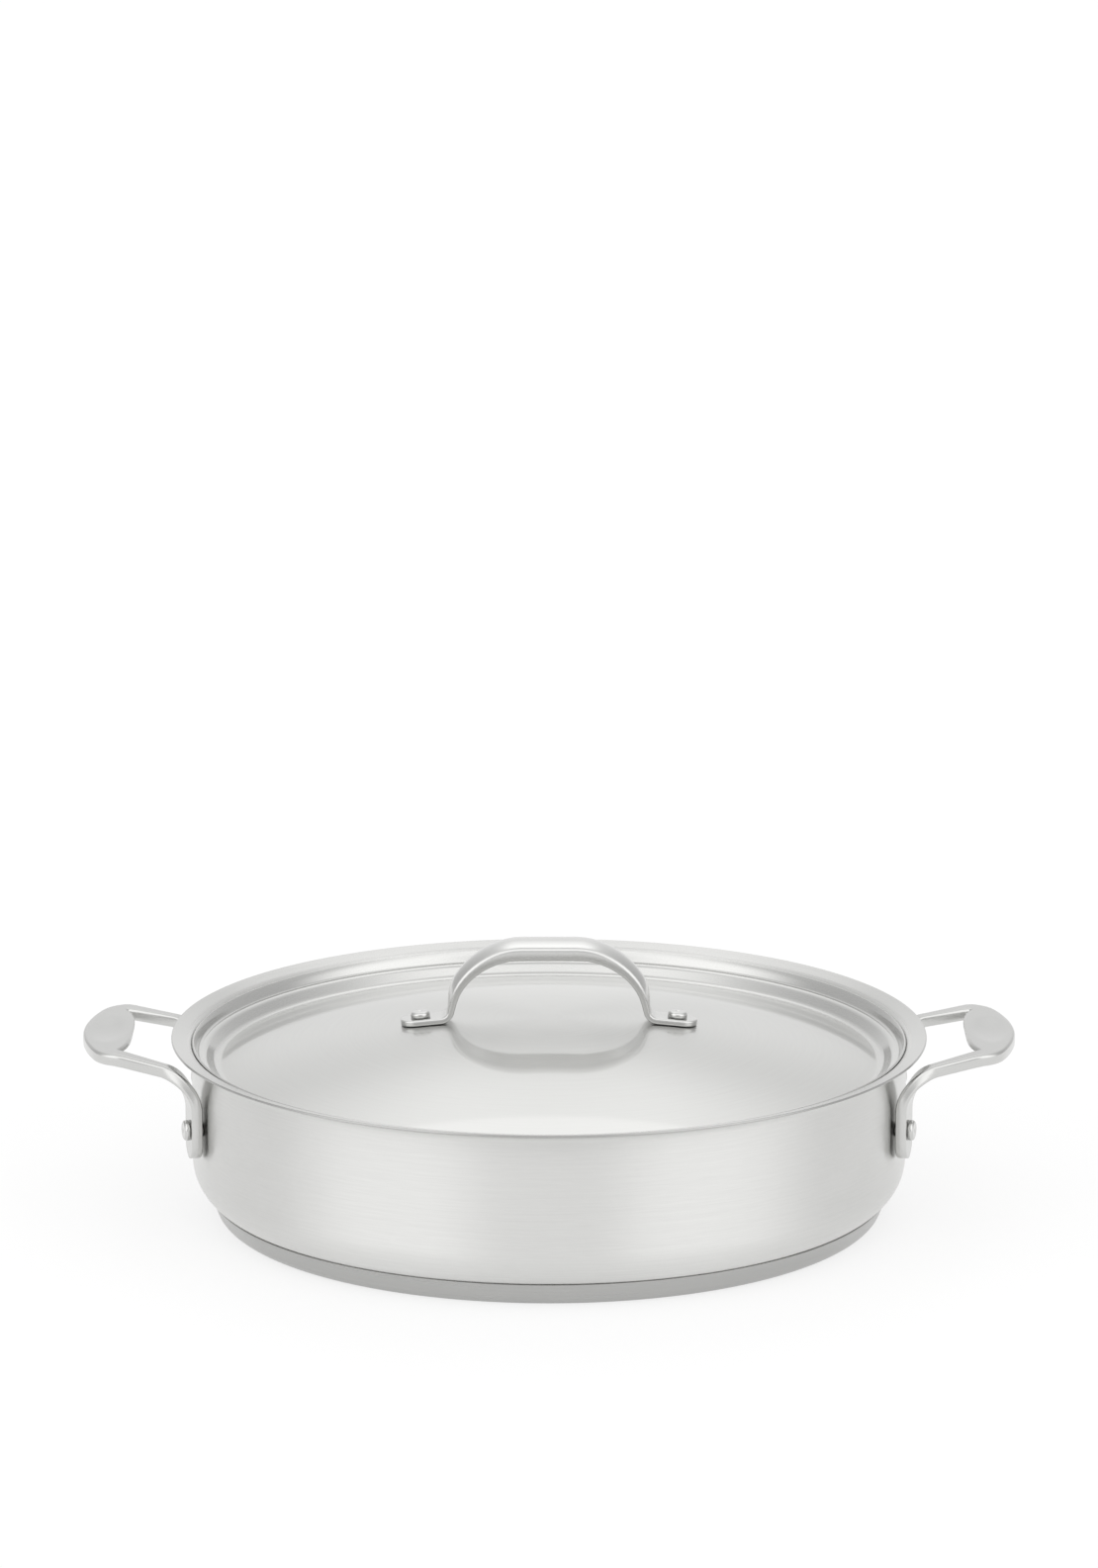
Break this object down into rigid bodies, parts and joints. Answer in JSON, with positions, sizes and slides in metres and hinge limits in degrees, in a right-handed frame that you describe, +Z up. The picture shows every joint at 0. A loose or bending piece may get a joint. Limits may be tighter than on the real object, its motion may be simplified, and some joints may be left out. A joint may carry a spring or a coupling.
{
  "type": "covered sauteuse pan",
  "caption": "Shallow straight-walled steel pan with a flared pouring rim, an encapsulated base and cast loop handles, covered by an inset domed lid with an arched strap handle.",
  "frame": {"origin": "on the table under the middle of the pan, in the plane of the base", "axes": "+X through the right-hand loop handle, +Y to the rear of the picture's view, +Z up along the pan's axis"},
  "size_m": [0.3952, 0.3204, 0.1186],
  "materials": {
    "pan_steel": "satin, brushed round the wall",
    "base_steel": "satin, turned",
    "base_core": "mill finish, sealed inside the base",
    "lid_steel": "finely spun, soft mirror",
    "handle_steel": "satin casting",
    "rivet_steel": "polished head"
  },
  "bodies": {
    "pan": {"pan_body": "pan_steel", "base_cap": "base_steel", "base_core": "base_core", "side_handle_right": "handle_steel", "side_handle_left": "handle_steel", "side_rivet_right_front": "rivet_steel", "side_rivet_right_rear": "rivet_steel", "side_rivet_left_front": "rivet_steel", "side_rivet_left_rear": "rivet_steel"},
    "lid": {"lid_shell": "lid_steel", "lid_handle": "handle_steel", "lid_rivet_right": "rivet_steel", "lid_rivet_left": "rivet_steel"}
  },
  "joints": [
    {"name": "lid_lift", "type": "slide", "parent": "pan", "child": "lid", "axis": [0, 0, 1], "range_m": [0, 0.12]}
  ]
}
